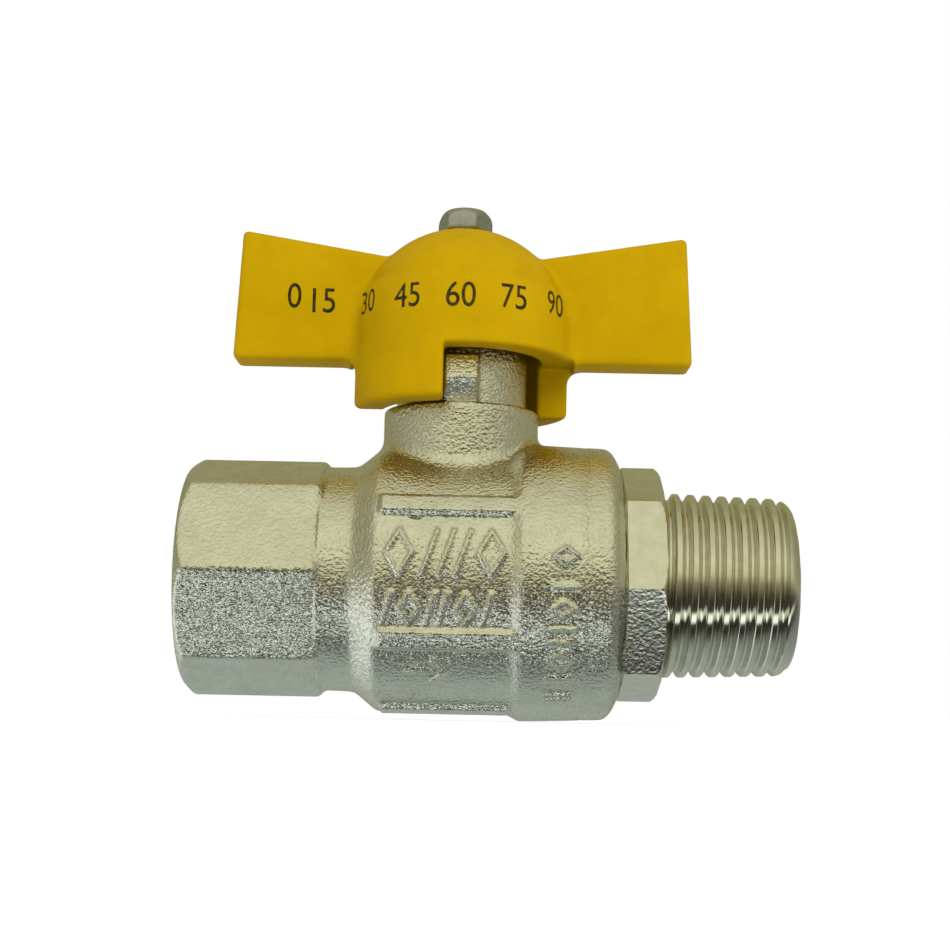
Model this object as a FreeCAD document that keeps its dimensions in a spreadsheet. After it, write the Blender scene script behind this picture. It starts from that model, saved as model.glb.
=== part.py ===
"""Ball valve, 1/2 inch, female by male, with a butterfly handle, as a parametric document.

The origin is the ball's centre. X runs along the pipe towards the male thread, Z up the stem.
The valve is open at rest and closes when the handle turns 90 degrees clockwise, seen from above.
"""
import FreeCAD, Part

import os
import re

import Sketcher
from FreeCAD import Placement, Rotation, Vector

# Driving dimensions in millimetres and degrees: alias, value, meaning.
DIMENSIONS = [
    # Clearances
    ("fit_gap", 0.05, "gap of a turned fit, on the radius"),
    ("collar_gap", 0.1, "gap round the stem's collar"),
    ("joint_gap", 0.02, "gap in a joint that is screwed or pressed home"),
    ("seat_gap", 0.03, "gap between the ball and a seat"),
    ("lap", 1.0, "how far joined features run into each other, and cuts run clear"),
    # Body, along X
    ("inlet_x", 31.1, "stem axis to the inlet face"),
    ("wrench_flats", 25.4, "across the flats of the inlet octagon"),
    ("inlet_chamfer_radius", 12.3, "where the inlet octagon's chamfer meets its face"),
    ("inlet_chamfer_angle", 50, "slope of that chamfer, from X"),
    ("chamfer_cut", 3.0, "how far out the chamfers of both octagons are cut"),
    ("waist_start", 15.2, "stem axis to the end of the octagon"),
    ("waist_radius", 12.9, "waist between the octagon and the barrel"),
    ("shoulder_foot", 11.6, "stem axis to the foot of the barrel's shoulder"),
    ("shoulder_top", 9.0, "stem axis to the top of the barrel's shoulder"),
    ("barrel_radius", 15.2, "barrel round the ball"),
    ("step_foot", 5.9, "start of the step up to the socket"),
    ("step_top", 7.1, "end of that step"),
    ("socket_radius", 16.0, "socket that takes the end connector"),
    ("socket_end_radius", 15.6, "the same at its end face, after its draft"),
    ("socket_end", 18.4, "end face of the socket"),
    ("socket_round", 1.4, "rounding of the socket's outer edge"),
    ("wall_angle", 28.5, "first rib from the front, about X"),
    ("wall_step", 45.0, "from the first rib to the second"),
    ("rib_width", 3.0, "width of a cast rib"),
    ("rib_radius", 15.65, "outside of the cast ribs"),
    ("rib_start", 8.6, "stem axis to the ribs' inlet end"),
    ("rib_end", 5.6, "stem axis to the ribs' other end"),
    # Body, along Z
    ("neck_radius", 9.0, "neck below the handle"),
    ("rim_z", 19.7, "top of the neck"),
    ("rim_round", 0.8, "rounding of the neck's edge"),
    ("boss_radius", 7.6, "stem boss above the neck"),
    ("boss_top", 27.5, "top of the stem boss"),
    ("lug_width", 3.9, "stop lugs, across"),
    ("lug_foot_reach", 8.4, "stem axis to the lug's front at its foot"),
    ("lug_foot_z", 19.3, "foot of the stop lugs, on the neck's edge"),
    ("lug_reach", 9.9, "stem axis to the ridge on the lug's front"),
    ("lug_ridge_z", 22.1, "height of that ridge"),
    ("lug_top", 25.1, "top of the stop lugs"),
    ("lug_top_reach", 9.2, "stem axis to the lug's front at its top"),
    # Inside of the body
    ("thread_pitch", 1.814, "14 threads to the inch"),
    ("thread_depth", 1.162, "depth of the pipe thread"),
    ("thread_crest", 0.36, "flat on a crest"),
    ("thread_flank", 0.605, "a flank of the thread, along X"),
    ("gauge_radius", 10.4775, "pipe thread's major radius at the gauge plane"),
    ("female_thread_end", 17.5, "stem axis to the end of the female thread"),
    ("female_relief_end", 15.6, "stem axis to the end of the thread relief"),
    ("female_relief_radius", 10.6, "thread relief"),
    ("port_radius", 7.8, "bore between the female thread and the seat"),
    ("seat_back", 11.2, "stem axis to the back of a seat"),
    ("seat_front", 6.6, "stem axis to the front of a seat"),
    ("seat_radius", 10.25, "outside of a seat ring"),
    ("seat_bore", 7.7, "bore of a seat ring"),
    ("chamber_radius", 11.9, "chamber round the ball"),
    ("nose_start", 7.25, "stem axis to the end connector's nose"),
    ("nose_radius", 12.0, "nose of the end connector"),
    ("nose_end", 13.05, "end of that nose"),
    ("socket_thread_radius", 12.3, "thread between the body and the end connector"),
    # Ball
    ("ball_radius", 11.5, "ball"),
    ("bore_radius", 7.5, "bore of the ball"),
    ("slot_width", 4.1, "slot for the stem's tang"),
    ("slot_floor", 8.8, "height of the slot's floor over the ball's centre"),
    # End connector
    ("collar_end", 23.1, "outer face of the connector's octagon"),
    ("collar_flats", 25.0, "across the flats of the connector's octagon"),
    ("collar_turn", 6.0, "turn of that octagon about X, as screwed home"),
    ("collar_chamfer_radius", 12.4, "where that octagon's chamfer meets its face"),
    ("collar_chamfer_angle", 60, "slope of that chamfer, from X"),
    ("outlet_x", 38.2, "stem axis to the end of the male thread"),
    ("outlet_bore", 7.7, "bore of the end connector"),
    ("outlet_tip_radius", 9.0, "chamfered tip of the male thread"),
    ("tip_start", 36.65, "stem axis to the start of that chamfer"),
    ("tip_start_radius", 9.6, "start of that chamfer, from X"),
    ("gauge_x", 29.5, "stem axis to the gauge plane of the male thread"),
    ("first_crest_x", 24.5, "stem axis to the first crest"),
    ("crest_count", 7, "full crests on the male thread"),
    # Seals
    ("ring_section", 0.55, "section radius of the body's O-ring"),
    ("ring_x", 12.05, "stem axis to the middle of the body's O-ring"),
    ("groove_width", 1.5, "width of an O-ring groove"),
    ("groove_depth", 1.1, "depth of an O-ring groove"),
    # Stem
    ("stem_radius", 4.0, "stem"),
    ("stem_bore", 4.05, "stem bore in the body"),
    ("collar_radius", 5.4, "anti-blow-out collar"),
    ("collar_foot", 12.0, "foot of the collar"),
    ("collar_top", 13.75, "top of the collar"),
    ("washer_top", 14.3, "top of the thrust washer's recess"),
    ("tang_width", 4.0, "tang, across"),
    ("tang_length", 9.0, "tang, along the ball's slot"),
    ("tang_foot", 8.9, "foot of the tang"),
    ("stem_ring_section", 0.55, "section radius of a stem O-ring"),
    ("stem_ring_lower", 18.0, "middle of the lower O-ring"),
    ("stem_ring_upper", 22.0, "middle of the upper O-ring"),
    ("stem_shoulder", 28.5, "shoulder that the handle sits on"),
    ("stem_top", 39.2, "top of the stem"),
    ("drive_width", 5.6, "square drive of the stem"),
    ("drive_hole", 5.7, "square hole in the handle"),
    ("drive_hole_top", 39.4, "top of that square hole"),
    ("screw_hole_radius", 1.7, "hole for the screw above it"),
    ("screw_radius", 1.47, "handle screw, M3"),
    ("tapped_radius", 1.5, "tapped hole in the stem"),
    ("screw_foot", 32.0, "end of the handle screw"),
    ("tapped_foot", 31.0, "floor of the tapped hole"),
    ("head_flats", 5.7, "across the flats of the screw's head"),
    ("head_top", 44.1, "top of the screw's head"),
    ("head_dome", 0.6, "chamfer round the head's top"),
    # Handle
    ("hub_radius", 12.7, "hub and skirt of the handle"),
    ("hub_centre", 29.0, "centre of the hub's dome"),
    ("hub_flat", 41.4, "seat of the handle screw"),
    ("skirt_foot", 19.6, "foot of the skirt"),
    ("window_top", 25.7, "top of the two skirt windows"),
    ("window_edge", 2.0, "skirt's stop faces from the stem axis"),
    ("cavity_radius", 9.2, "cavity round the stem boss"),
    ("wing_span", 26.85, "stem axis to a wing's tip, at its foot"),
    ("wing_tip", 26.15, "the same at its top"),
    ("wing_thickness", 5.5, "wings, across"),
    ("wing_foot", 25.15, "underside of the wings"),
    ("wing_tip_top", 40.8, "top of the wings at the tips"),
    ("wing_root_top", 37.8, "top of the wings at the hub"),
    ("wing_root", 8.0, "stem axis to the wings' roots on the dome"),
    ("wing_round", 0.9, "rounding of the wings' long edges"),
]
ALIASES = [alias for alias, number, meaning in DIMENSIONS]
FULL_TURN = 360
OCTAGON = 8
HEXAGON = 6
NEAR = 0.01
ZERO = 1e-9
ALONG_X = Rotation(Vector(0, 1, 0), 90)
UPRIGHT = Rotation()

document = FreeCAD.newDocument("ball_valve")
sheet = document.addObject("Spreadsheet::Sheet", "dims")


def fill_sheet():
    """Write every driving dimension, its alias and its meaning into the spreadsheet."""
    for row, (alias, number, meaning) in enumerate(DIMENSIONS, start=1):
        sheet.set(f"A{row}", meaning)
        sheet.set(f"B{row}", str(number))
        sheet.setAlias(f"B{row}", alias)
    document.recompute()


def bound(text):
    """The expression with every alias in it pointing at the spreadsheet."""
    def point(word):
        return f"dims.{word.group()}" if word.group() in ALIASES else word.group()
    return re.sub(r"[a-z_]+", point, str(text))


def value(text):
    """What an expression of aliases comes to now."""
    return float(sheet.evalExpression(bound(text)))


def new_body(label):
    body = document.addObject("PartDesign::Body", label)
    body.Label = label
    return body


def origin(body, role):
    """One of the body's own origin planes or axes."""
    return next(item for item in body.Origin.OriginFeatures if item.Role == role)


def place_corner(sketch, line, axis, text):
    """Tie a line's first point to an expression of the sheet along X or Y."""
    along = value(text)
    if abs(along) < ZERO:
        sketch.addConstraint(Sketcher.Constraint("PointOnObject", line, 1, -2 if axis == "X" else -1))
        return
    kind = f"Distance{axis}"
    if along > 0:
        number = sketch.addConstraint(Sketcher.Constraint(kind, -1, 1, line, 1, along))
        sketch.setExpression(f"Constraints[{number}]", bound(text))
    else:
        number = sketch.addConstraint(Sketcher.Constraint(kind, line, 1, -1, 1, -along))
        sketch.setExpression(f"Constraints[{number}]", bound(f"-({text})"))


def draw(body, role, name, outlines, height="0"):
    """A sketch of closed outlines, whose corners are pairs of expressions of the sheet."""
    sketch = body.newObject("Sketcher::SketchObject", name)
    sketch.AttachmentSupport = [(origin(body, role), "")]
    sketch.MapMode = "FlatFace"
    sketch.setExpression("AttachmentOffset.Base.z", bound(height))
    for outline in outlines:
        first = sketch.GeometryCount
        count = len(outline)
        points = [Vector(value(x), value(y), 0) for x, y in outline]
        for index, point in enumerate(points):
            sketch.addGeometry(Part.LineSegment(point, points[(index + 1) % count]))
        for index in range(count):
            after = first + (index + 1) % count
            sketch.addConstraint(Sketcher.Constraint("Coincident", first + index, 2, after, 1))
        for index, (x, y) in enumerate(outline):
            place_corner(sketch, first + index, "X", x)
            place_corner(sketch, first + index, "Y", y)
    return sketch


def polygon(sides, flats, turn="0"):
    """Corners of a regular polygon of even sides, from its size across flats."""
    corner = f"{flats} / 2 / cos(180 / {sides})"
    angles = [f"({FULL_TURN * index / sides} + {turn})" for index in range(sides)]
    return [(f"{corner} * cos{angle}", f"{corner} * sin{angle}") for angle in angles]


def rectangle(left, right, low, high):
    return [(left, low), (right, low), (right, high), (left, high)]


def revolve(body, name, sketch, axis, cut=False):
    """Turn a sketch once round its own horizontal or vertical axis."""
    feature = body.newObject("PartDesign::Groove" if cut else "PartDesign::Revolution", name)
    feature.Profile = sketch
    feature.ReferenceAxis = (sketch, [axis])
    feature.Angle = FULL_TURN
    document.recompute()
    return feature


def extrude(body, name, sketch, length, cut=False, midplane=False, reverse=False):
    feature = body.newObject("PartDesign::Pocket" if cut else "PartDesign::Pad", name)
    feature.Profile = sketch
    feature.setExpression("Length", bound(length))
    feature.SideType = "Symmetric" if midplane else "One side"
    feature.Reversed = reverse
    document.recompute()
    return feature


def primitive(body, kind, name, sizes, place=("0", "0", "0"), turn=UPRIGHT):
    """A PartDesign primitive with its sizes and its position bound to the sheet."""
    feature = body.newObject(f"PartDesign::{kind}", name)
    feature.Placement = Placement(Vector(), turn)
    for size, text in sizes.items():
        feature.setExpression(size, bound(text))
    for axis, text in zip("xyz", place):
        feature.setExpression(f"Placement.Base.{axis}", bound(text))
    document.recompute()
    return feature


def round_edges(body, name, radius, chosen):
    """Round the edges of the body's last feature that the test picks."""
    base = body.Tip
    edges = [f"Edge{number}" for number, edge in enumerate(base.Shape.Edges, start=1) if chosen(edge)]
    feature = body.newObject("PartDesign::Fillet", name)
    feature.Base = (base, edges)
    feature.setExpression("Radius", bound(radius))
    document.recompute()
    return feature


def repeat_along_x(body, name, feature, length, count):
    """Repeat a feature along X and make the pattern the body's result."""
    pattern = body.newObject("PartDesign::LinearPattern", name)
    pattern.Originals = [feature]
    pattern.Direction = (origin(body, "X_Axis"), [""])
    pattern.setExpression("Length", bound(length))
    pattern.Occurrences = count
    body.Tip = pattern
    document.recompute()
    return pattern


def is_circle(edge, axis, place, radius):
    """True for a full circle of that radius about X or Z, at that place along it."""
    curve = edge.Curve if len(edge.Vertexes) == 1 else None
    if not isinstance(curve, Part.Circle) or abs(curve.Radius - radius) > NEAR:
        return False
    centre = curve.Center.x if axis == "X" else curve.Center.z
    return abs(centre - place) < NEAR


def make_barrel(body):
    """Outside of the body along the pipe: waist, barrel, socket, octagon and ribs."""
    outline = draw(body, "XZ_Plane", "barrel_outline", [[
        ("-waist_start", "0"), ("-waist_start", "waist_radius"),
        ("-shoulder_foot", "waist_radius"), ("-shoulder_top", "barrel_radius"),
        ("step_foot", "barrel_radius"), ("step_top", "socket_radius"),
        ("socket_end", "socket_end_radius"), ("socket_end", "0")]])
    revolve(body, "barrel", outline, "H_Axis")
    edge_x = value("socket_end")
    edge_radius = value("socket_end_radius")
    round_edges(body, "socket_edge", "socket_round",
                lambda edge: is_circle(edge, "X", edge_x, edge_radius))
    flats = draw(body, "YZ_Plane", "wrench_outline", [polygon(OCTAGON, "wrench_flats")], "-inlet_x")
    extrude(body, "wrench_octagon", flats, "inlet_x - waist_start")
    chamfer = draw(body, "XZ_Plane", "wrench_chamfer_outline", [[
        ("-inlet_x", "inlet_chamfer_radius"),
        ("-inlet_x + chamfer_cut / tan(inlet_chamfer_angle)", "inlet_chamfer_radius + chamfer_cut"),
        ("-inlet_x", "inlet_chamfer_radius + chamfer_cut")]])
    revolve(body, "wrench_chamfer", chamfer, "H_Axis", cut=True)


def rib_outline(angle):
    """Cross-section of one rib in the YZ plane, at an angle up from the front."""
    corners = []
    for radius, side in [("barrel_radius - lap", -1), ("rib_radius", -1),
                         ("rib_radius", 1), ("barrel_radius - lap", 1)]:
        half = f"{side} * rib_width / 2"
        across = f"-({radius}) * cos({angle}) + {half} * sin({angle})"
        upward = f"({radius}) * sin({angle}) + {half} * cos({angle})"
        corners.append((across, upward))
    return corners


def make_ribs(body):
    """Cast ribs along the barrel, alike above and below, front and back."""
    angles = []
    for number in range(2):
        angle = f"(wall_angle + {number} * wall_step)"
        angles += [angle, f"-{angle}", f"(180 - {angle})", f"(180 + {angle})"]
    ribs = draw(body, "YZ_Plane", "rib_outlines", [rib_outline(angle) for angle in angles], "-rib_start")
    extrude(body, "ribs", ribs, "rib_start + rib_end")


def make_neck(body):
    """Neck, stem boss and the two stop lugs."""
    neck = draw(body, "XZ_Plane", "neck_outline", [[
        ("0", "0"), ("neck_radius", "0"), ("neck_radius", "rim_z"),
        ("boss_radius", "rim_z"), ("boss_radius", "boss_top"), ("0", "boss_top")]])
    revolve(body, "neck", neck, "V_Axis")
    rim = value("rim_z")
    rim_radius = value("neck_radius")
    round_edges(body, "neck_edge", "rim_round", lambda edge: is_circle(edge, "Z", rim, rim_radius))
    lugs = draw(body, "YZ_Plane", "lug_outlines", [
        [(f"{side} * (boss_radius - lap)", "lug_foot_z"), (f"{side} * lug_foot_reach", "lug_foot_z"),
         (f"{side} * lug_reach", "lug_ridge_z"), (f"{side} * lug_top_reach", "lug_top"),
         (f"{side} * (boss_radius - lap)", "lug_top")]
        for side in (-1, 1)])
    extrude(body, "stop_lugs", lugs, "lug_width", midplane=True)


def make_flow_path(body):
    """Everything that is hollow along X: thread bore, port, seat pocket, chamber and socket."""
    hollow = draw(body, "XZ_Plane", "flow_outline", [[
        ("-inlet_x", "0"), ("-inlet_x", "gauge_radius"),
        ("-inlet_x + thread_depth", "gauge_radius - thread_depth"),
        ("-female_thread_end", "gauge_radius - thread_depth"), ("-female_thread_end", "female_relief_radius"),
        ("-female_relief_end", "female_relief_radius"), ("-female_relief_end", "port_radius"),
        ("-seat_back", "port_radius"), ("-seat_back", "seat_radius + fit_gap"),
        ("-seat_front", "seat_radius + fit_gap"), ("-seat_front", "chamber_radius"),
        ("nose_start", "chamber_radius"), ("nose_start", "nose_radius + fit_gap"),
        ("nose_end", "nose_radius + fit_gap"), ("nose_end", "socket_thread_radius"),
        ("socket_end", "socket_thread_radius"), ("socket_end", "0")]])
    revolve(body, "flow_path", hollow, "H_Axis", cut=True)
    start = "-inlet_x + thread_depth + thread_crest"
    end = f"{start} + thread_pitch - thread_crest"
    crest = "gauge_radius - thread_depth"
    tooth = draw(body, "XZ_Plane", "female_thread_outline", [[
        (start, f"{crest} - lap"), (start, crest), (f"{start} + thread_flank", "gauge_radius"),
        (f"{end} - thread_flank", "gauge_radius"), (end, crest), (end, f"{crest} - lap")]])
    groove = revolve(body, "female_thread_turn", tooth, "H_Axis", cut=True)
    turns = int(value("inlet_x - female_thread_end - thread_depth") / value("thread_pitch"))
    repeat_along_x(body, "female_thread", groove, f"thread_pitch * {turns - 1}", turns)


def make_valve_body():
    body = new_body("valve_body")
    make_barrel(body)
    make_ribs(body)
    make_neck(body)
    make_flow_path(body)
    bore = draw(body, "XZ_Plane", "stem_bore_outline", [[
        ("0", "slot_floor"), ("collar_radius + collar_gap", "slot_floor"),
        ("collar_radius + collar_gap", "washer_top"),
        ("stem_bore", "washer_top"), ("stem_bore", "boss_top"), ("0", "boss_top")]])
    revolve(body, "stem_bore", bore, "V_Axis", cut=True)
    return body


def crest_radius(place):
    """Major radius of the taper pipe thread, which narrows by 1 in 16 on the diameter."""
    return f"(gauge_radius + (gauge_x - ({place})) / 32)"


def male_thread_outline():
    """Half section of the male thread: turns on a taper, each with a flat crest."""
    outline = [("collar_end - lap", "outlet_bore"),
               ("collar_end - lap", f"{crest_radius('first_crest_x')} - thread_depth")]
    for turn in range(int(value("crest_count"))):
        place = f"first_crest_x + {turn} * thread_pitch"
        crest = crest_radius(place)
        root = f"{crest} - thread_depth"
        outline += [(f"{place} - thread_crest / 2 - thread_flank", root),
                    (f"{place} - thread_crest / 2", crest), (f"{place} + thread_crest / 2", crest),
                    (f"{place} + thread_crest / 2 + thread_flank", root)]
    outline += [("tip_start", "tip_start_radius"), ("outlet_x", "outlet_tip_radius"),
                ("outlet_x", "outlet_bore")]
    return outline


def make_end_connector():
    body = new_body("end_connector")
    groove_start = "ring_x - groove_width / 2"
    groove_end = "ring_x + groove_width / 2"
    socket_fit = "socket_thread_radius - joint_gap"
    nose = draw(body, "XZ_Plane", "nose_outline", [[
        ("nose_start + fit_gap", "seat_radius + fit_gap"), ("nose_start + fit_gap", "nose_radius"),
        (groove_start, "nose_radius"), (groove_start, "nose_radius - groove_depth"),
        (groove_end, "nose_radius - groove_depth"), (groove_end, "nose_radius"),
        ("nose_end + fit_gap", "nose_radius"), ("nose_end + fit_gap", socket_fit),
        ("collar_end", socket_fit), ("collar_end", "outlet_bore"),
        ("seat_back", "outlet_bore"), ("seat_back", "seat_radius + fit_gap")]])
    revolve(body, "nose", nose, "H_Axis")
    thread = draw(body, "XZ_Plane", "male_thread_outline", [male_thread_outline()])
    revolve(body, "male_thread", thread, "H_Axis")
    flats = draw(body, "YZ_Plane", "collar_outline",
                 [polygon(OCTAGON, "collar_flats", "collar_turn")], "socket_end")
    flats.addGeometry(Part.Circle(Vector(), Vector(0, 0, 1), value("outlet_bore + lap")))
    hole = flats.GeometryCount - 1
    flats.addConstraint(Sketcher.Constraint("Coincident", hole, 3, -1, 1))
    size = flats.addConstraint(Sketcher.Constraint("Radius", hole, value("outlet_bore + lap")))
    flats.setExpression(f"Constraints[{size}]", bound("outlet_bore + lap"))
    extrude(body, "collar", flats, "collar_end - socket_end")
    chamfer = draw(body, "XZ_Plane", "collar_chamfer_outline", [[
        ("collar_end", "collar_chamfer_radius"), ("collar_end", "collar_chamfer_radius + chamfer_cut"),
        ("collar_end - chamfer_cut / tan(collar_chamfer_angle)", "collar_chamfer_radius + chamfer_cut")]])
    revolve(body, "collar_chamfer", chamfer, "H_Axis", cut=True)
    return body


def make_ball():
    """Ball with its through bore and the slot that crosses its top."""
    body = new_body("ball")
    primitive(body, "AdditiveSphere", "sphere", {"Radius": "ball_radius"})
    primitive(body, "SubtractiveCylinder", "bore", {"Radius": "bore_radius", "Height": "2 * inlet_x"},
              ("-inlet_x", "0", "0"), ALONG_X)
    primitive(body, "SubtractiveBox", "stem_slot",
              {"Length": "slot_width", "Width": "2 * inlet_x", "Height": "ball_radius"},
              ("-slot_width / 2", "-inlet_x", "slot_floor"))
    return body


def make_seat(label, side):
    """Seat ring on one side of the ball, with a face that follows the ball."""
    body = new_body(label)
    ring = draw(body, "XZ_Plane", f"{label}_outline", [[
        (f"{side} * seat_back", "seat_bore"), (f"{side} * seat_back", "seat_radius"),
        (f"{side} * seat_front", "seat_radius"), (f"{side} * seat_front", "seat_bore")]])
    revolve(body, f"{label}_ring", ring, "H_Axis")
    primitive(body, "SubtractiveSphere", f"{label}_face", {"Radius": "ball_radius + seat_gap"})
    return body


def make_stem():
    """Stem with its tang, collar, two O-ring grooves, square drive and tapped top."""
    body = new_body("stem")
    outline = [("0", "collar_foot"), ("collar_radius", "collar_foot"), ("collar_radius", "collar_top"),
               ("stem_radius", "collar_top")]
    for middle in ("stem_ring_lower", "stem_ring_upper"):
        outline += [("stem_radius", f"{middle} - groove_width / 2"),
                    ("stem_radius - groove_depth", f"{middle} - groove_width / 2"),
                    ("stem_radius - groove_depth", f"{middle} + groove_width / 2"),
                    ("stem_radius", f"{middle} + groove_width / 2")]
    outline += [("stem_radius", "stem_shoulder"), ("0", "stem_shoulder")]
    revolve(body, "shaft", draw(body, "XZ_Plane", "shaft_outline", [outline]), "V_Axis")
    primitive(body, "AdditiveBox", "tang",
              {"Length": "tang_width", "Width": "tang_length", "Height": "collar_foot - tang_foot"},
              ("-tang_width / 2", "-tang_length / 2", "tang_foot"))
    primitive(body, "AdditiveBox", "drive",
              {"Length": "drive_width", "Width": "drive_width", "Height": "stem_top - stem_shoulder"},
              ("-drive_width / 2", "-drive_width / 2", "stem_shoulder"))
    primitive(body, "SubtractiveCylinder", "tapped_hole",
              {"Radius": "tapped_radius", "Height": "stem_top - tapped_foot"}, ("0", "0", "tapped_foot"))
    return body


def make_thrust_washer():
    body = new_body("stem_thrust_washer")
    section = rectangle("stem_bore", "collar_radius", "collar_top + joint_gap", "washer_top - joint_gap")
    outline = draw(body, "XZ_Plane", "washer_outline", [section])
    revolve(body, "washer", outline, "V_Axis")
    return body


def make_o_ring(label, ring, section, place, turn):
    body = new_body(label)
    primitive(body, "AdditiveTorus", f"{label}_torus", {"Radius1": ring, "Radius2": section}, place, turn)
    return body


def make_hub(body):
    """Domed hub with its skirt, hollow below for the stem boss."""
    primitive(body, "AdditiveSphere", "dome", {"Radius": "hub_radius"}, ("0", "0", "hub_centre"))
    primitive(body, "SubtractiveCylinder", "dome_foot",
              {"Radius": "hub_radius + lap", "Height": "hub_radius + lap"},
              ("0", "0", "hub_centre - hub_radius - lap"))
    primitive(body, "AdditiveCylinder", "skirt",
              {"Radius": "hub_radius", "Height": "hub_centre - skirt_foot"}, ("0", "0", "skirt_foot"))


def make_wings(body):
    """Two flat wings in one plane, with their long edges rounded."""
    wings = draw(body, "XZ_Plane", "wing_outline", [[
        ("-wing_span", "wing_foot"), ("wing_span", "wing_foot"), ("wing_tip", "wing_tip_top"),
        ("wing_root", "wing_root_top"), ("-wing_root", "wing_root_top"), ("-wing_tip", "wing_tip_top")]])
    extrude(body, "wings", wings, "wing_thickness", midplane=True)
    face = value("wing_thickness / 2")
    root = value("hub_radius")

    def is_wing_edge(edge):
        ends = [vertex.Point for vertex in edge.Vertexes]
        on_face = len(ends) == 2 and all(abs(abs(end.y) - face) < NEAR for end in ends)
        return on_face and abs(edge.CenterOfMass.x) > root
    round_edges(body, "wing_rounding", "wing_round", is_wing_edge)


def make_handle():
    """Butterfly handle: hub, wings, and a skirt whose two legs run between the stop lugs."""
    body = new_body("handle")
    make_hub(body)
    make_wings(body)
    far = "(hub_radius + fit_gap)"
    window = draw(body, "XY_Plane", "window_outline", [[
        ("-window_edge", f"-{far}"), (far, f"-{far}"), (far, "window_edge"), ("window_edge", "window_edge"),
        ("window_edge", far), (f"-{far}", far), (f"-{far}", "-window_edge"),
        ("-window_edge", "-window_edge")]], "window_top")
    extrude(body, "skirt_windows", window, "window_top - skirt_foot + lap", cut=True)
    primitive(body, "SubtractiveCylinder", "cavity",
              {"Radius": "cavity_radius", "Height": "stem_shoulder - skirt_foot + lap"},
              ("0", "0", "skirt_foot - lap"))
    primitive(body, "SubtractiveBox", "drive_hole",
              {"Length": "drive_hole", "Width": "drive_hole",
               "Height": "drive_hole_top - stem_shoulder + lap"},
              ("-drive_hole / 2", "-drive_hole / 2", "stem_shoulder - lap"))
    primitive(body, "SubtractiveCylinder", "screw_hole",
              {"Radius": "screw_hole_radius", "Height": "hub_radius"}, ("0", "0", "drive_hole_top - lap"))
    primitive(body, "SubtractiveBox", "screw_seat",
              {"Length": "2 * hub_radius", "Width": "2 * hub_radius", "Height": "hub_radius"},
              ("-hub_radius", "-hub_radius", "hub_flat"))
    return body


def make_handle_screw():
    """Hexagon screw, with its head on the hub and its shank in the stem."""
    body = new_body("handle_screw")
    hexagon = draw(body, "XY_Plane", "head_outline", [polygon(HEXAGON, "head_flats")], "hub_flat")
    extrude(body, "head", hexagon, "head_top - hub_flat")
    dome = draw(body, "XZ_Plane", "head_dome_outline", [[
        ("head_flats / 2 - head_dome", "head_top"), ("head_flats / 2 + lap", "head_top"),
        ("head_flats / 2 + lap", "head_top - head_dome - lap")]])
    revolve(body, "head_chamfer", dome, "V_Axis", cut=True)
    primitive(body, "AdditiveCylinder", "shank",
              {"Radius": "screw_radius", "Height": "hub_flat - screw_foot"}, ("0", "0", "screw_foot"))
    return body


def make_parts():
    ring_centre = "nose_radius - ring_section + joint_gap"
    stem_ring_centre = "stem_radius - stem_ring_section + joint_gap"
    return [
        make_valve_body(),
        make_end_connector(),
        make_ball(),
        make_seat("seat_ring_inlet", -1),
        make_seat("seat_ring_outlet", 1),
        make_stem(),
        make_thrust_washer(),
        make_o_ring("body_seal_ring", ring_centre, "ring_section", ("ring_x", "0", "0"), ALONG_X),
        make_o_ring("stem_o_ring_lower", stem_ring_centre, "stem_ring_section",
                    ("0", "0", "stem_ring_lower"), UPRIGHT),
        make_o_ring("stem_o_ring_upper", stem_ring_centre, "stem_ring_section",
                    ("0", "0", "stem_ring_upper"), UPRIGHT),
        make_handle(),
        make_handle_screw(),
    ]


def check(parts):
    """Stop on any failed object, and on any part whose solid is missing or not valid."""
    for item in document.Objects:
        if "Invalid" in item.State or "Error" in item.State:
            raise RuntimeError(f"{item.Label} failed: {item.State}")
    for part in parts:
        if part.Shape.isNull() or not part.Shape.isValid() or len(part.Shape.Solids) != 1:
            raise RuntimeError(f"{part.Label} is not one valid solid")


def write(parts):
    os.makedirs("parts", exist_ok=True)
    for part in parts:
        part.Shape.exportStep(f"parts/{part.Label}.step")
        box = part.Shape.BoundBox
        print(f"{part.Label}: {part.Shape.Volume:.0f} mm3, x {box.XMin:.2f}..{box.XMax:.2f},"
              f" y {box.YMin:.2f}..{box.YMax:.2f}, z {box.ZMin:.2f}..{box.ZMax:.2f}")


fill_sheet()
all_parts = make_parts()
document.recompute()
check(all_parts)
write(all_parts)
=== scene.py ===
"""Half-inch gas ball valve with a winged handle: its looks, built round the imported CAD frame.

The big cast shapes are signed distance fields in millimetres, meshed at their zero level. The two
pipe threads are true right-handed helices. Everything is scaled to metres when its mesh is made.
The last value of each soft_max and soft_min is the size of that edge's rounding or fillet.
"""
import math

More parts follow.
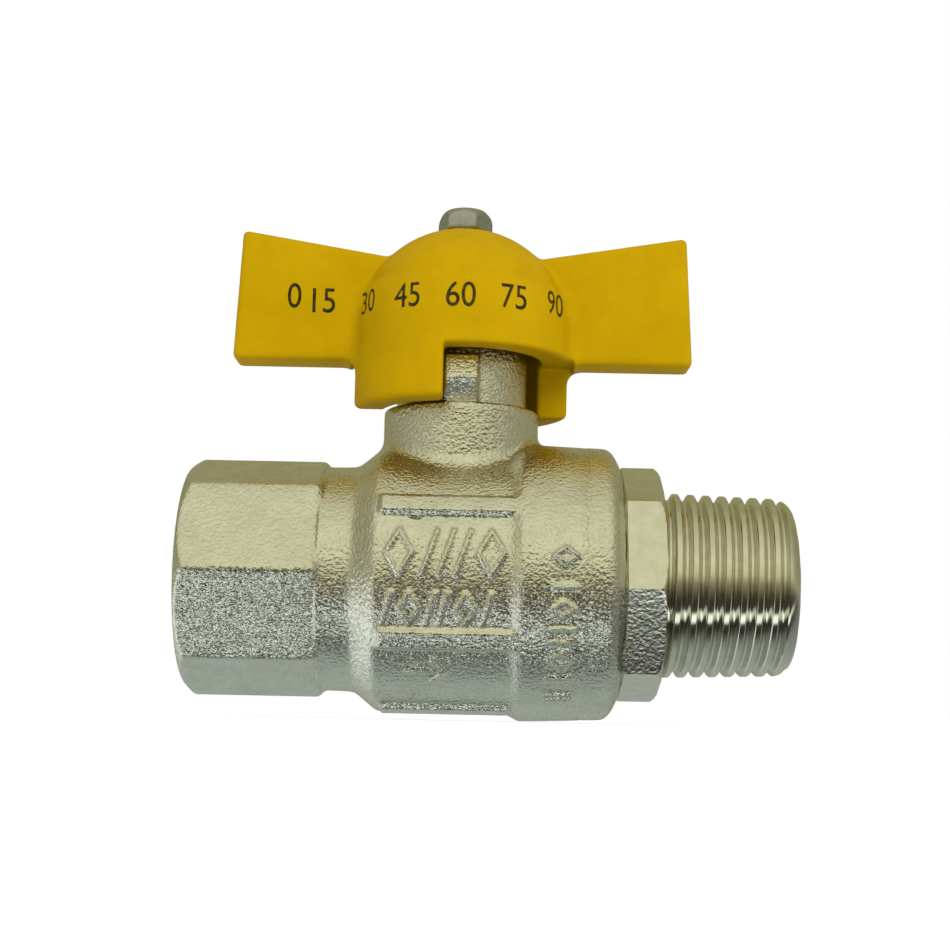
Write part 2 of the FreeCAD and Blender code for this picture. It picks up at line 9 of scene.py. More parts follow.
import bmesh
import bpy
import numpy as np
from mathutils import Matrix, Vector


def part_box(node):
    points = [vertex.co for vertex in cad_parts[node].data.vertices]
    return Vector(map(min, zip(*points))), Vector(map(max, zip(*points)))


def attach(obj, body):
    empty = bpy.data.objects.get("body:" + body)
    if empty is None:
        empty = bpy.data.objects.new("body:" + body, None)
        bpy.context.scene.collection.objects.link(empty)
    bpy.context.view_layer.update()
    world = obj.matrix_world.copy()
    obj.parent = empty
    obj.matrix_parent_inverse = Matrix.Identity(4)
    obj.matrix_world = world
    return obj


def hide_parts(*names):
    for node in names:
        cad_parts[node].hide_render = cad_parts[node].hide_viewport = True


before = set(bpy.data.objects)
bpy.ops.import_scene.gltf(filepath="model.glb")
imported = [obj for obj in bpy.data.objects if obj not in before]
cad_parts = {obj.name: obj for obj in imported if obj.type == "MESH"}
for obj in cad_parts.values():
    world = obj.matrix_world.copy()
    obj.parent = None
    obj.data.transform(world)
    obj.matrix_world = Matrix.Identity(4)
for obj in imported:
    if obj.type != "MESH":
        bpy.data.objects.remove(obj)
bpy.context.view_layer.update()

import openvdb
from mathutils import Vector
from mathutils.bvhtree import BVHTree

MM = 0.001
TURN = 2 * math.pi


def node_box(node):
    """A CAD node's lowest and highest corner, in millimetres."""
    low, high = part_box(node)
    return np.array(low) / MM, np.array(high) / MM


BODY_LOW, BODY_HIGH = node_box("valve_body")
CONNECTOR_LOW, CONNECTOR_HIGH = node_box("end_connector")
HANDLE_LOW, HANDLE_HIGH = node_box("handle")
SCREW_LOW, SCREW_HIGH = node_box("handle_screw")
BALL_RADIUS = node_box("ball")[1][0]
SEAT_X = node_box("seat_ring_inlet")[0][0]

# Body, in millimetres. A shoulder or step has its start and end along X. The inlet's chamfer has its
# radius at the face and its slope, the socket's lean its inner radius and how far back it goes for each
# millimetre. Each rib has its angle up from the front and the place where it starts, and a rib's side
# runs between two distances from its middle. A lug's corners are distances out from the stem and heights.
INLET_X = BODY_LOW[0]
SOCKET_END = BODY_HIGH[0]
BOSS_TOP = BODY_HIGH[2]
WRENCH_FLATS = 25.4
WRENCH_END = -15.2
BURIED_SLOPE = 1.5
INLET_CHAMFER = (12.3, math.radians(50))
WAIST_RADIUS = 12.9
SHOULDER = (-11.6, -9.0)
BARREL_RADIUS = 15.2
STEP = (5.9, 7.1)
SOCKET_RADIUS = 16.0
SOCKET_DRAFT = 0.4 / 11.3
SOCKET_LEAN = (13.6, 0.55)
GROOVE_X = 14.4
GROOVE_WIDTH = 0.22
GROOVE_DEPTH = 0.07
RIBS = [(-73.5, -8.6), (-28.5, -8.6), (28.5, -8.6), (73.5, -7.0)]
RIB_HEIGHT = 0.62
RIB_SIDE = (0.75, 1.5)
NECK_RADIUS = 9.02
RIM_Z = 19.7
BOSS_RADIUS = 7.6
BOSS_FOOT = 10
STEM_HOLE = 4.1
STEM_HOLE_FOOT = 8
LUG_HALF = 1.95
LUG_TOP = 25.1
LUG_FOOT = 17
LUG_CORNERS = [(7.6, 19.3), (9.9, 22.1), (9.2, 25.1)]
# Hollow along the pipe: where it steps, and its radius before the first step and after each one.
HOLLOW_STEPS = np.array([-15.4, SEAT_X + 0.3, -6.6, CONNECTOR_LOW[0], 13.1])
HOLLOW_RADII = np.array([11.0, 8.3, 10.3, 11.9, 12.05, 12.3])

# Pipe threads. The tip is rounded over a length and a depth. Areas and near places are in metres.
PITCH = 1.814
THREAD_DEPTH = 0.8
GAUGE_RADIUS = 10.4775
GAUGE_X = 29.5
TAPER = 32
CREST_HALF = 0.24
ROOT_HALF = 0.86
THREAD_SHIFT = -0.38
THREAD_START = 9.5
TIP_RADIUS = 8.7
TIP_ROUND = (2.3, 1.6)
MOUTH_X = INLET_X + 0.05
MOUTH_RADIUS = 11.02
INNER_END = -17.5
INNER_END_RADIUS = 10.6
LINER_RADIUS = 11.3
PORT_RADIUS = 7.8
AROUND = 360
SAME_PLACE = 2e-7
NO_AREA = 1e-13
SHARP_ANGLE = math.radians(35)

# End connector
COLLAR_END = 23.1
COLLAR_TURN = -6.0
COLLAR_HALF = 12.5
COLLAR_CORNER = 13.7
CONNECTOR_BORE = 7.7
NOSE_BORE = 10.3
NOSE_DEPTH = 11.2
NOSE_RADIUS = 12.0
NOSE_END = 13.0
SHANK = 12.25
COLLAR_ROUND = (1.3, 1.45)
COLLAR_ROUND_STEPS = (1.3, 1.0, 0.75, 0.55, 0.35, 0.2, 0.08, 0.0)

# Handle. The wing's top has its height at the tip and at the root, its span the reach at the foot and top.
# The fillet to the hub is its size above the fillet span, and what is added below it.
HUB_RADIUS = 12.7
HUB_CENTRE = 29.0
CREASE_Z = 34.6
CREASE_WIDTH = 0.45
CREASE_DEPTH = 0.2
WING_HALF = 2.75
WING_FOOT = 25.3
WING_TOP = (40.8, 37.8)
WING_SPAN = (26.85, 26.15)
WING_ROOT = 8.0
WING_FILLET = (0.5, 1.3)
FILLET_SPAN = (33, 37)
WINDOW_TOP = 25.7
WINDOW_EDGE = 2.0
WINDOW_REACH = 12.9
CAVITY_RADIUS = 9.2
CAVITY_TOP = 28.5
DRIVE_HALF = 2.85
DRIVE_FOOT = 27
DRIVE_TOP = 39.4
SCREW_HOLE = 1.7

# Screw, its turn in degrees, and ball
SCREW_FLATS = 5.7
SCREW_TURN = 22
SCREW_CROWN = 3.6
CROWN_RISE = 0.8
SHANK_RADIUS = 1.45
BALL_BORE = 7.5
SLOT_HALF = 2.05
SLOT_FOOT = 8.8

# Printed scale: number and its middle along X. The line of numbers rises with the middle's square.
NUMBERS = [
    ("0", -19.8), ("15", -16.6), ("30", -11.0), ("45", -6.2), ("60", -0.2), ("75", 5.8), ("90", 10.6),
]
NUMBER_SIZE = 4.2
PRINT_CELL = 0.35
NUMBER_WIDTH = 0.85
PRINT_FOOT = 29.7
PRINT_RISE = 0.0045
INK_LIFT = 0.035
WELL_IN_FRONT = -30

# Grid for each distance field: low corner, high corner, cell and how far its flat parts are merged
BODY_GRID = ((-31.8, -18.6, -18.6), (19.2, 18.6, 28.2), 0.22, 0.01)
HANDLE_GRID = ((-27.4, -13.2, 18.9), (27.4, 13.2, 42.8), 0.25, 0.01)
SCREW_GRID = ((-3.6, -3.6, 31.6), (3.6, 3.6, 44.6), 0.12, 0.005)
BALL_GRID = ((-12, -12, -12), (12, 12, 12), 0.3, 0.005)
SLAB = 16


# ---------------------------------------------------------------- distance field tools

def soft_max(a, b, blend):
    """The larger of two distances, with a rounded edge where they meet."""
    mix = np.clip(0.5 + 0.5 * (a - b) / blend, 0, 1)
    return b + (a - b) * mix + blend * mix * (1 - mix)


def soft_min(a, b, blend):
    """The smaller of two distances, with a fillet where they meet."""
    return -soft_max(-a, -b, blend)


def soft_abs(value, blend):
    """Size of a value, rounded where it passes zero."""
    return np.sqrt(value * value + blend * blend)


def hinge(value, blend):
    """Nothing below zero and the value above it, with a rounded corner."""
    return 0.5 * (value + soft_abs(value, blend))


def ease(value, start, end):
    """0 before start, 1 after end and smooth between."""
    t = np.clip((value - start) / (end - start), 0, 1)
    return t * t * (3 - 2 * t)


def plane(u, w, point, after):
    """Distance from the line through two points, positive on its right-hand side."""
    along = (after[0] - point[0], after[1] - point[1])
    length = math.hypot(*along)
    return ((u - point[0]) * along[1] - (w - point[1]) * along[0]) / length


def add_mesh(name, points, faces, normals=None):
    """A mesh object from points in millimetres."""
    mesh = bpy.data.meshes.new(name)
    mesh.from_pydata((np.asarray(points) * MM).tolist(), [], faces)
    mesh.shade_smooth()
    piece = bpy.data.objects.new(name, mesh)
    bpy.context.scene.collection.objects.link(piece)
    if normals is not None:
        mesh.normals_split_custom_set_from_vertices(normals.tolist())
    return piece


def slope_of(shape, points, reach=0.02):
    """Gradient of a distance field at some points."""
    parts = []
    for axis in np.eye(3) * reach:
        parts.append((shape(*(points + axis).T) - shape(*(points - axis).T)) / (2 * reach))
    return np.stack(parts, axis=1)


def fix_normals(piece):
    """Turn a closed piece's faces outward."""
    work = bmesh.new()
    work.from_mesh(piece.data)
    bmesh.ops.recalc_face_normals(work, faces=work.faces)
    work.to_mesh(piece.data)
    work.free()


def mesh_shape(name, shape, low, high, step, merge):
    """A closed mesh of a distance field, with its points and normals moved onto the true surface."""
    low = np.array(low, float)
    counts = np.ceil((np.array(high) - low) / step).astype(int) + 1
    axes = [low[i] + step * np.arange(counts[i]) for i in range(3)]
    field = np.empty(counts, np.float32)
    for start in range(0, counts[0], SLAB):
        x, y, z = np.meshgrid(axes[0][start:start + SLAB], axes[1], axes[2], indexing="ij")
        field[start:start + SLAB] = shape(x, y, z)
    grid = openvdb.FloatGrid(float(field.max()))
    grid.copyFromArray(field)
    points, triangles, quads = grid.convertToPolygons(0.0, merge)
    points = low + points.astype(float) * step
    longest_move = 0.3 * step
    for _ in range(3):
        slope = slope_of(shape, points)
        size = np.maximum((slope ** 2).sum(1), 0.2)
        move = slope * (shape(*points.T) / size)[:, None]
        points -= np.clip(move, -longest_move, longest_move)
    slope = slope_of(shape, points)
    normals = slope / np.linalg.norm(slope, axis=1)[:, None]
    faces = triangles.tolist() + quads.tolist()
    sample = faces[:200]
    a, b, c = (points[[face[i] for face in sample]] for i in range(3))
    outward = (np.cross(b - a, c - b) * normals[[face[0] for face in sample]]).sum()
    if outward < 0:
        faces = [face[::-1] for face in faces]
    return add_mesh(name, points, faces, normals)


# ---------------------------------------------------------------- raised marks

# Strokes of each plain mark, in a box one wide and one high.
GLYPHS = {
    "slant": [[(0.1, 0.0), (0.9, 1.0)]],
    "bar": [[(0.0, 0.5), (1.0, 0.5)]],
    "diamond": [[(0.5, 0.0), (1.0, 0.5), (0.5, 1.0), (0.0, 0.5), (0.5, 0.0)]],
    "arrow": [[(0.0, 0.5), (1.0, 0.5)], [(0.7, 1.0), (1.0, 0.5), (0.7, 0.0)]],
}
# Each raised mark: glyph, left and right along X, foot and top round the front of the barrel.
MARKS = [
    ("diamond", -7.6, -4.8, -0.4, 4.4), ("slant", -3.9, -1.9, -0.4, 4.4), ("slant", -2.1, -0.1, -0.4, 4.4),
    ("slant", -0.3, 1.7, -0.4, 4.4), ("diamond", 2.4, 5.2, -0.4, 4.4),
    ("slant", -8.0, -6.8, -5.8, -2.5), ("diamond", -6.0, -4.0, -5.8, -2.5), ("slant", -3.3, -2.1, -5.8, -2.5),
    ("slant", -1.9, -0.7, -5.8, -2.5), ("diamond", 0.1, 2.1, -5.8, -2.5), ("slant", 2.8, 4.0, -5.8, -2.5),
    ("arrow", -5.2, -1.2, -13.2, -10.4),
    ("diamond", 10.6, 13.0, 1.0, 2.6), ("bar", 10.6, 13.0, -1.7, -1.3), ("diamond", 10.4, 12.8, -4.6, -3.0),
    ("bar", 10.4, 12.8, -6.1, -5.7), ("bar", 10.3, 12.7, -7.5, -7.1), ("diamond", 10.2, 12.6, -10.3, -8.7),
    ("bar", 10.1, 12.5, -12.0, -11.6), ("bar", 10.1, 12.5, -14.6, -14.2), ("bar", 10.1, 12.5, -15.5, -15.1),
]
MARK_HEIGHT = 0.27
MARK_SPREAD = 0.31
MARK_REACH = 1.2
FAR_OFF = 9.0


def mark_segments():
    """Straight pieces of all the marks, as pairs of a place along X and one round the front."""
    segments = []
    for glyph, left, right, foot, top in MARKS:
        for stroke in GLYPHS[glyph]:
            line = [(left + (right - left) * u, foot + (top - foot) * w) for u, w in stroke]
            segments += list(zip(line[:-1], line[1:]))
    return segments


SEGMENTS = mark_segments()


def mark_relief(along, around):
    """Height of the raised marks at places along the barrel and round its front."""
    nearest = np.full(along.shape, FAR_OFF)
    for (x0, w0), (x1, w1) in SEGMENTS:
        dx, dw = x1 - x0, w1 - w0
        t = np.clip(((along - x0) * dx + (around - w0) * dw) / (dx * dx + dw * dw), 0, 1)
        nearest = np.minimum(nearest, (along - x0 - t * dx) ** 2 + (around - w0 - t * dw) ** 2)
    return MARK_HEIGHT * np.exp(-nearest / MARK_SPREAD ** 2)


# ---------------------------------------------------------------- valve body

def barrel_surface(x, y, z):
    """Radius of the barrel's cast skin: waist, shoulder, ribs, socket and raised marks."""
    rise = (BARREL_RADIUS - WAIST_RADIUS) / (SHOULDER[1] - SHOULDER[0])
    step = (SOCKET_RADIUS - BARREL_RADIUS) / (STEP[1] - STEP[0])
    past_step = hinge(x - STEP[1], 0.35)
    surface = WAIST_RADIUS + rise * (hinge(x - SHOULDER[0], 0.5) - hinge(x - SHOULDER[1], 0.4))
    surface = surface + step * (hinge(x - STEP[0], 0.35) - past_step)
    surface = surface - SOCKET_DRAFT * past_step
    surface = surface - BURIED_SLOPE * np.maximum(WRENCH_END - 0.1 - x, 0)
    round_front = np.arctan2(z, np.abs(y)) * BARREL_RADIUS
    for rib, start in RIBS:
        off = np.abs(round_front - math.radians(rib) * BARREL_RADIUS)
        height = RIB_HEIGHT * (1 - ease(off, *RIB_SIDE)) * ease(x, start - 0.3, start + 0.5)
        surface = surface + height * (1 - ease(x, STEP[0] - 0.6, STEP[1] + 0.2))
    surface = surface - GROOVE_DEPTH * np.exp(-((x - GROOVE_X) / GROOVE_WIDTH) ** 2)
    near = (y < 0) & (np.abs(np.hypot(y, z) - surface) < MARK_REACH)
    if near.any():
        relief = np.zeros(surface.shape)
        relief[near] = mark_relief(x[near], round_front[near])
        surface = surface + relief
    return surface


def octagon(y, z, flats, edge):
    """Distance from an octagon with corners on the axes, edges rounded."""
    corner = math.radians(22.5)
    side, up = soft_abs(y, edge), soft_abs(z, edge)
    first = side * math.cos(corner) + up * math.sin(corner)
    second = side * math.sin(corner) + up * math.cos(corner)
    return soft_max(first, second, edge) - flats / 2


def wrench_end(x, y, z, radius):
    """Octagon round the inlet, chamfered at its face and stepped down to the waist."""
    start, slope = INLET_CHAMFER
    shape = octagon(y, z, WRENCH_FLATS, 0.25)
    chamfer = (radius - start - (x - INLET_X) * math.tan(slope)) * math.cos(slope)
    shape = soft_max(shape, chamfer, 0.25)
    return soft_max(soft_max(shape, INLET_X - x, 0.3), x - WRENCH_END, 0.9)


def stop_lug(x, y, z):
    """Stop lug at the front and back of the boss, with a ridge across its face."""
    out = np.abs(y)
    foot, ridge, head = LUG_CORNERS
    lower = plane(out, z, foot, ridge)
    upper = plane(out, z, ridge, head)
    face = soft_max(lower, upper, 0.25)
    side = soft_max(np.abs(x) - LUG_HALF, z - LUG_TOP, 0.5)
    return soft_max(face, side, 0.4)


def hollow_radius(x):
    """Radius of the hollow along the pipe axis, in steps."""
    return HOLLOW_RADII[np.searchsorted(HOLLOW_STEPS, x)]


def body_shape(x, y, z):
    """Forged body: wrench end, barrel, neck and boss with its lugs, hollow along the pipe and the stem."""
    lean_from, lean = SOCKET_LEAN
    radius = np.hypot(y, z)
    shaft = np.hypot(x, y)
    # The skin's slopes and ribs make this steeper than a true distance, so it is scaled down.
    skin = (radius - barrel_surface(x, y, z)) * 0.85
    skin = soft_max(skin, x - SOCKET_END + lean * hinge(radius - lean_from, 0.3), 0.9)
    skin = np.maximum(skin, WRENCH_END - 2 - x)
    shape = soft_min(wrench_end(x, y, z, radius), skin, 0.5)
    neck = soft_max(shaft - NECK_RADIUS, z - RIM_Z, 0.5)
    neck = np.maximum(neck, -z)
    shape = soft_min(shape, neck, 1.1)
    boss = soft_max(shaft - BOSS_RADIUS, z - BOSS_TOP, 0.5)
    lug = np.maximum(stop_lug(x, y, z), LUG_FOOT - z)
    boss = soft_min(np.maximum(boss, BOSS_FOOT - z), lug, 0.5)
    shape = soft_min(shape, boss, 0.25)
    shape = soft_max(shape, hollow_radius(x) - radius, 0.15)
    return np.maximum(shape, np.minimum(STEM_HOLE - shaft, z - STEM_HOLE_FOOT))


# ---------------------------------------------------------------- helical threads

def thread_height(phase):
    """1 on the rounded crest and 0 in the root, from the distance to the crest's middle."""
    return 1 - ease(np.abs(phase), CREST_HALF, ROOT_HALF)


PHASES = PITCH * (np.arange(14) / 14 - 0.5)


def helix_rows(start, end, radius_at, shift=0.0):
    """Points of a right-handed thread surface between two planes, and the faces between them.

    Each row crosses one pitch, and its last point joins the first point of the row one turn later.
    """
    turns = int(math.ceil((end - start) / PITCH)) + 3
    angles = TURN * np.arange(AROUND * turns + 1) / AROUND
    points = []
    for angle in angles:
        middle = start - 2 * PITCH + PITCH * angle / TURN + shift
        place = np.clip(middle + PHASES, start, end)
        radius = radius_at(place, PHASES)
        points.append(np.stack([place, -radius * math.cos(angle), radius * math.sin(angle)], axis=1))
    points = np.concatenate(points)
    count = len(PHASES)
    faces = []
    for row in range(len(angles) - 1):
        for column in range(count):
            here = row * count + column
            if column < count - 1:
                beside = here + 1
            else:
                beside = (row + AROUND) * count
            above = beside + count
            if above < len(points):
                faces.append((here, beside, above, here + count))
    return points, faces


def ring_rows(outline):
    """Rings about X through an outline, whose radius is a number or a function of the angle."""
    angles = TURN * np.arange(AROUND) / AROUND
    points = []
    for x, radius in outline:
        size = radius(angles) if callable(radius) else np.full(AROUND, radius)
        points.append(np.stack([np.full(AROUND, x), -size * np.cos(angles), size * np.sin(angles)], axis=1))
    faces = []
    for ring in range(len(outline) - 1):
        for index in range(AROUND):
            after = (index + 1) % AROUND
            faces.append((ring * AROUND + index, ring * AROUND + after,
                          (ring + 1) * AROUND + after, (ring + 1) * AROUND + index))
    return np.concatenate(points), faces


def join_turned(name, parts):
    """One closed piece from rings and helices that share their end circles."""
    points = []
    faces = []
    for part_points, part_faces in parts:
        base = sum(len(block) for block in points)
        points.append(part_points)
        faces += [tuple(corner + base for corner in face) for face in part_faces]
    piece = add_mesh(name, np.concatenate(points), faces)
    solid = bmesh.new()
    solid.from_mesh(piece.data)
    bmesh.ops.remove_doubles(solid, verts=solid.verts, dist=SAME_PLACE)
    flat = [face for face in solid.faces if face.calc_area() < NO_AREA]
    bmesh.ops.delete(solid, geom=flat, context="FACES_ONLY")
    bmesh.ops.recalc_face_normals(solid, faces=solid.faces)
    solid.to_mesh(piece.data)
    solid.free()
    piece.data.shade_smooth()
    piece.data.set_sharp_from_angle(angle=SHARP_ANGLE)
    return piece


def collar_size(shrink, limit):
    """Radius of the octagon collar for any angle, made smaller by shrink and cut off at limit."""
    def radius(angles):
        turned = np.mod(np.degrees(angles) - COLLAR_TURN, 45.0) - 22.5
        size = (COLLAR_HALF - shrink) / np.cos(np.radians(turned))
        return np.minimum(size, limit)
    return radius


def outer_thread(place, phase):
    """Radius of the tapered male thread, running in at the collar and rounded off at the tip."""
    crest = GAUGE_RADIUS + (GAUGE_X - place) / TAPER
    size = crest - THREAD_DEPTH * (1 - thread_height(phase))
    size = np.minimum(size, THREAD_START + (place - COLLAR_END) * 3)
    inward = np.clip((place - CONNECTOR_HIGH[0]) / TIP_ROUND[0] + 1, 0, 1)
    rounded = TIP_RADIUS + TIP_ROUND[1] * np.sqrt(1 - inward ** 2)
    return np.where(inward > 0, np.minimum(size, rounded), size)


def inner_thread(place, phase):
    """Radius of the female thread, opened out at the mouth and run out at its end."""
    size = GAUGE_RADIUS - THREAD_DEPTH * thread_height(phase)
    size = np.maximum(size, MOUTH_RADIUS - (place - MOUTH_X) * 1.1)
    return np.maximum(size, INNER_END_RADIUS - (INNER_END - place) * 2.5)


def make_connector():
    """End connector: nose, octagon collar and the tapered thread."""
    outlet = CONNECTOR_HIGH[0]
    nose = CONNECTOR_LOW[0]
    joint = SOCKET_END + 0.05
    outline = [(outlet - 0.2, CONNECTOR_BORE), (NOSE_DEPTH, CONNECTOR_BORE), (NOSE_DEPTH, NOSE_BORE),
               (nose, NOSE_BORE), (nose, NOSE_RADIUS - 0.3), (nose + 0.3, NOSE_RADIUS),
               (NOSE_END, NOSE_RADIUS), (NOSE_END, SHANK), (joint, SHANK),
               (joint, collar_size(0.3, COLLAR_CORNER - 0.4)), (joint + 0.3, collar_size(0.0, COLLAR_CORNER))]
    length, depth = COLLAR_ROUND
    for back in COLLAR_ROUND_STEPS:
        limit = SHANK + depth * math.sqrt(1 - (1 - back / length) ** 2)
        outline.append((COLLAR_END - back, collar_size(0.0, limit)))
    outline += [(COLLAR_END, NOSE_RADIUS), (COLLAR_END, THREAD_START)]
    thread = helix_rows(COLLAR_END, outlet, outer_thread, THREAD_SHIFT)
    tip = [(outlet, TIP_RADIUS), (outlet, CONNECTOR_BORE + 0.2), (outlet - 0.2, CONNECTOR_BORE)]
    return join_turned("end_connector_turned", [ring_rows(outline), thread, ring_rows(tip)])


def make_liner():
    """Machined inside of the inlet: chamfer, female thread, relief and port."""
    seat = SEAT_X + 0.4
    relief = [(INNER_END, INNER_END_RADIUS), (-15.8, INNER_END_RADIUS), (-15.6, 10.4), (-15.6, 8.0),
              (-15.4, PORT_RADIUS), (seat, PORT_RADIUS), (seat, 8.5), (-15.0, 8.5),
              (-15.0, LINER_RADIUS), (MOUTH_X + 0.3, LINER_RADIUS), (MOUTH_X, MOUTH_RADIUS)]
    thread = helix_rows(MOUTH_X, INNER_END, inner_thread)
    return join_turned("inlet_thread_bore", [thread, ring_rows(relief)])


# ---------------------------------------------------------------- handle, screw and ball

def handle_shape(x, y, z):
    """Butterfly handle: domed hub, two wings and a skirt with two legs, hollow below."""
    shaft = np.hypot(x, y)
    dome = np.hypot(shaft, np.maximum(z - HUB_CENTRE, 0)) - HUB_RADIUS
    crease = CREASE_DEPTH * np.exp(-((z - CREASE_Z) / CREASE_WIDTH) ** 2)
    hub = soft_max(dome + crease, z - HANDLE_HIGH[2], 0.5)
    hub = soft_max(hub, HANDLE_LOW[2] - z, 0.9)
    across = np.abs(x)
    top = plane(across, z, (WING_SPAN[1], WING_TOP[0]), (WING_ROOT, WING_TOP[1]))
    tip = plane(across, z, (WING_SPAN[0], WING_FOOT), (WING_SPAN[1], WING_TOP[0]))
    wing = soft_max(soft_max(top, tip, 0.8), WING_FOOT - z, 0.8)
    wing = soft_max(wing, np.abs(y) - WING_HALF, 0.9)
    fillet = WING_FILLET[0] + WING_FILLET[1] * ease(-z, -FILLET_SPAN[1], -FILLET_SPAN[0])
    shape = soft_min(hub, wing, fillet)
    far_leg = soft_max(WINDOW_EDGE - x, WINDOW_EDGE - y, 0.3)
    near_leg = soft_max(x + WINDOW_EDGE, y + WINDOW_EDGE, 0.3)
    legs = soft_min(np.minimum(far_leg, near_leg), WINDOW_TOP - z, 0.5)
    shape = soft_max(shape, soft_min(legs, WINDOW_REACH - across, 0.5), 0.6)
    cavity = np.maximum(shaft - CAVITY_RADIUS, z - CAVITY_TOP)
    shape = soft_max(shape, -cavity, 0.4)
    drive = np.maximum(np.maximum(across, np.abs(y)) - DRIVE_HALF, np.maximum(DRIVE_FOOT - z, z - DRIVE_TOP))
    return np.maximum(shape, -np.minimum(drive, shaft - SCREW_HOLE))


def screw_shape(x, y, z):
    """Hexagon screw with a crowned head."""
    seat = HANDLE_HIGH[2]
    top = SCREW_HIGH[2]
    hexagon = np.full(np.shape(x), -2.0 * SCREW_FLATS)
    for side in range(6):
        angle = math.radians(60 * side + SCREW_TURN)
        hexagon = soft_max(hexagon, x * math.cos(angle) + y * math.sin(angle) - SCREW_FLATS / 2, 0.16)
    shaft = np.hypot(x, y)
    crown = np.hypot(shaft, z - top - CROWN_RISE + SCREW_CROWN) - SCREW_CROWN
    head = soft_max(soft_max(hexagon, crown, 0.25), z - top, 0.15)
    head = soft_max(head, seat - z, 0.3)
    shank = np.maximum(np.maximum(shaft - SHANK_RADIUS, SCREW_LOW[2] - z), z - seat - 1)
    return np.minimum(head, shank)


def ball_shape(x, y, z):
    """Ball with its bore along the pipe and the stem's slot on top."""
    ball = np.sqrt(x * x + y * y + z * z) - BALL_RADIUS
    ball = soft_max(ball, BALL_BORE - np.hypot(y, z), 0.4)
    return soft_max(ball, -np.maximum(np.abs(x) - SLOT_HALF, SLOT_FOOT - z), 0.2)


# ---------------------------------------------------------------- printed scale on the handle

def number_mesh(number, width):
    """Flat outline of a number in a work mesh, in millimetres, cut into cells small enough to wrap."""
    curve = bpy.data.curves.new("number", "FONT")
    curve.body = number
    curve.size = NUMBER_SIZE
    curve.align_x = "CENTER"
    text = bpy.data.objects.new("number", curve)
    bpy.context.scene.collection.objects.link(text)
    bpy.context.view_layer.update()
    flat = bpy.data.meshes.new_from_object(text)
    bpy.data.objects.remove(text)
    work = bmesh.new()
    work.from_mesh(flat)
    bpy.data.meshes.remove(flat)
    near = 1e-4
    bmesh.ops.remove_doubles(work, verts=work.verts, dist=near)
    reach = math.ceil(NUMBER_SIZE / PRINT_CELL)
    for axis in (Vector((1, 0, 0)), Vector((0, 1, 0))):
        for step in range(-reach, reach + 1):
            geometry = work.verts[:] + work.edges[:] + work.faces[:]
            place = axis * PRINT_CELL * step
            bmesh.ops.bisect_plane(work, geom=geometry, dist=near, plane_co=place, plane_no=axis)
    bmesh.ops.triangulate(work, faces=work.faces)
    for vertex in work.verts:
        vertex.co.x *= width
    work.verts.index_update()
    return work


def make_print(handle):
    """Thin ink numbers of a dial, laid on the front of the handle and squeezed as the hub turns away."""
    skin = BVHTree.FromPolygons([vertex.co[:] for vertex in handle.data.vertices],
                                [face.vertices[:] for face in handle.data.polygons])
    points = []
    faces = []
    for number, middle in NUMBERS:
        on_hub = abs(middle) < HUB_RADIUS
        squeeze = math.sqrt(1 - (middle / HUB_RADIUS) ** 2) if on_hub else 1.0
        work = number_mesh(number, NUMBER_WIDTH * squeeze)
        foot = PRINT_FOOT + PRINT_RISE * middle ** 2
        work.verts.ensure_lookup_table()
        for layer, lift in enumerate((INK_LIFT, -INK_LIFT)):
            base = len(points)
            for vertex in work.verts:
                x = middle + vertex.co.x
                z = foot + vertex.co.y
                hit = skin.ray_cast(Vector((x, WELL_IN_FRONT, z)) * MM, Vector((0, 1, 0)))[0]
                points.append((x, hit.y / MM - lift, z))
            for face in work.faces:
                corners = [vertex.index + base for vertex in face.verts]
                faces.append(tuple(corners if layer == 0 else corners[::-1]))
        front = base - len(work.verts)
        for edge in work.edges:
            if edge.is_boundary:
                a, b = (vertex.index for vertex in edge.verts)
                faces.append((front + a, front + b, base + b, base + a))
        work.free()
    piece = add_mesh("handle_scale_print", points, faces)
    fix_normals(piece)
    return piece


# ---------------------------------------------------------------- materials

def new_material(name):
    """A material with its node tree and its one shader."""
    material = bpy.data.materials.new(name)
    material.use_nodes = True
    tree = material.node_tree
    shader = tree.nodes["Principled BSDF"]
    return material, tree, shader


def noise(tree, size, detail=2.0, rough=0.5, stretch=(1, 1, 1)):
    """A noise pattern in object space, with features of that size in millimetres."""
    place = tree.nodes.new("ShaderNodeTexCoord")
    scale = tree.nodes.new("ShaderNodeMapping")
    scale.inputs["Scale"].default_value = tuple(s / (size * MM) for s in stretch)
    pattern = tree.nodes.new("ShaderNodeTexNoise")
    pattern.inputs["Scale"].default_value = 1.0
    pattern.inputs["Detail"].default_value = detail
    pattern.inputs["Roughness"].default_value = rough
    tree.links.new(place.outputs["Object"], scale.inputs["Vector"])
    tree.links.new(scale.outputs["Vector"], pattern.inputs["Vector"])
    return pattern.outputs["Fac"]


def ramp(tree, source, stops):
    """Colours along a value: pairs of a place and a colour or a grey."""
    node = tree.nodes.new("ShaderNodeValToRGB")
    band = node.color_ramp
    while len(band.elements) < len(stops):
        band.elements.new(1.0)
    for element, (place, colour) in zip(band.elements, stops):
        element.position = place
        grey = isinstance(colour, (int, float))
        element.color = (colour, colour, colour, 1) if grey else (*colour, 1)
    tree.links.new(source, node.inputs["Fac"])
    return node.outputs["Color"]


def maths(tree, operation, *inputs):
    """A value worked out from numbers or from other nodes' values."""
    node = tree.nodes.new("ShaderNodeMath")
    node.operation = operation
    for socket, source in zip(node.inputs, inputs):
        if isinstance(source, (int, float)):
            socket.default_value = source
        else:
            tree.links.new(source, socket)
    return node.outputs["Value"]


